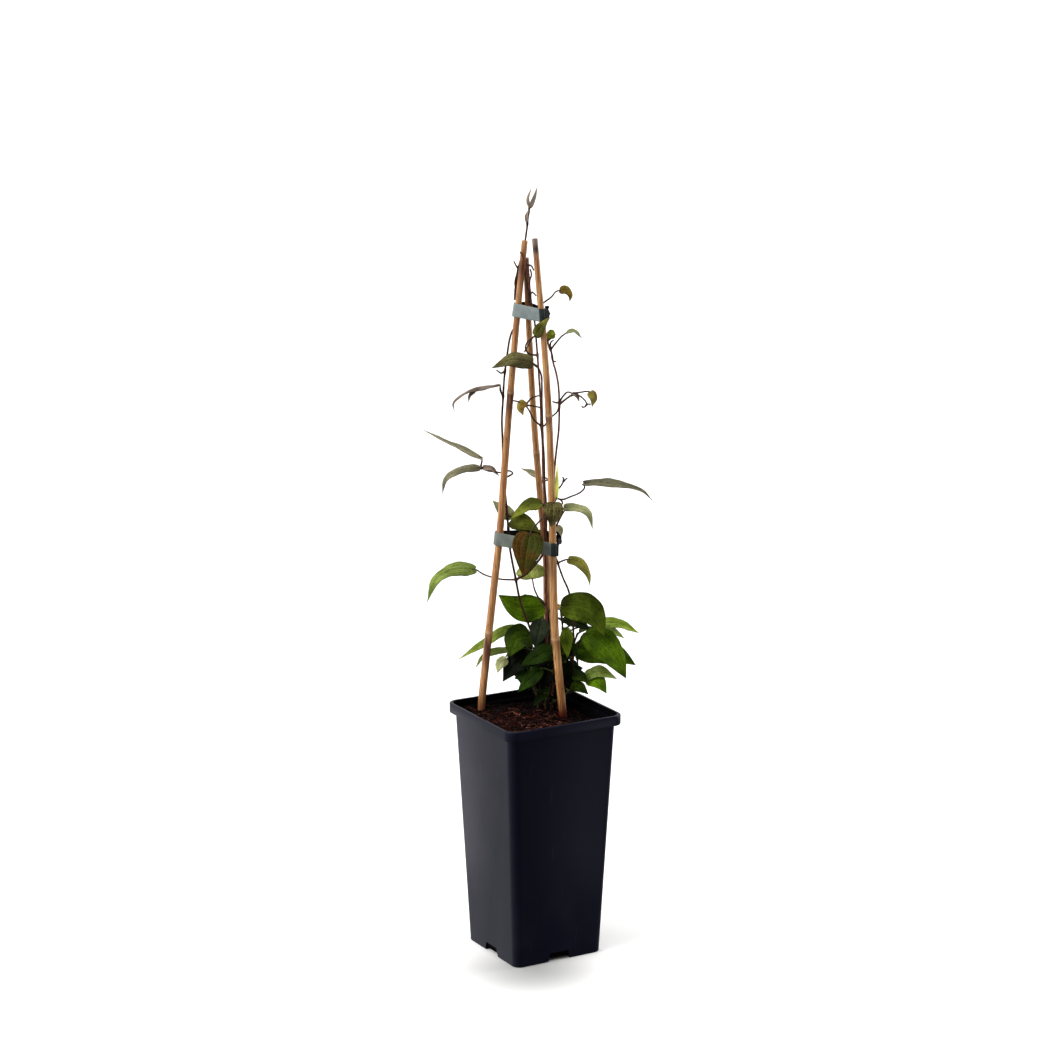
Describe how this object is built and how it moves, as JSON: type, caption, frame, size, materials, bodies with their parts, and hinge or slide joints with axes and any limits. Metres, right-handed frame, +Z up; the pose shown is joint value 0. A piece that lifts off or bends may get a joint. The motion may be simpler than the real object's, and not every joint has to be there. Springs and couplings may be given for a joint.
{
  "type": "potted clematis on a cane tripod",
  "caption": "Young clematis in a tall square nursery pot, its vines climbing a tripod of bamboo canes held together by plastic clips.",
  "frame": {"origin": "middle of the pot's underside, on the surface it stands on", "axes": "+Z up along the pot's axis; X and Y along the pot's straight sides"},
  "size_m": [0.1785, 0.1419, 0.6752],
  "materials": {
    "pot": "thin moulded black polypropylene, satin, faintly scratched",
    "soil": "coarse brown bark and coir compost, matte",
    "bamboo": "dry tan bamboo with fine lengthwise fibres and darker joints",
    "clip": "grey green moulded plastic, satin",
    "climber": "thin purple brown stems with olive to bronze leaves, faintly glossy",
    "foliage": "smooth fresh green leaves, faintly glossy, paler veins"
  },
  "bodies": {
    "root": {"pot": "pot", "soil": "soil", "cane_left": "bamboo", "cane_front": "bamboo", "cane_back": "bamboo", "clip_lower": "clip", "clip_upper": "clip", "vine_left": "climber", "vine_middle": "climber", "vine_right": "climber", "vine_side": "climber", "shoot_1": "foliage", "shoot_2": "foliage", "shoot_3": "foliage", "shoot_4": "foliage", "shoot_5": "foliage", "shoot_6": "foliage", "shoot_7": "foliage", "shoot_8": "foliage", "shoot_9": "foliage", "shoot_10": "foliage"}
  },
  "joints": []
}
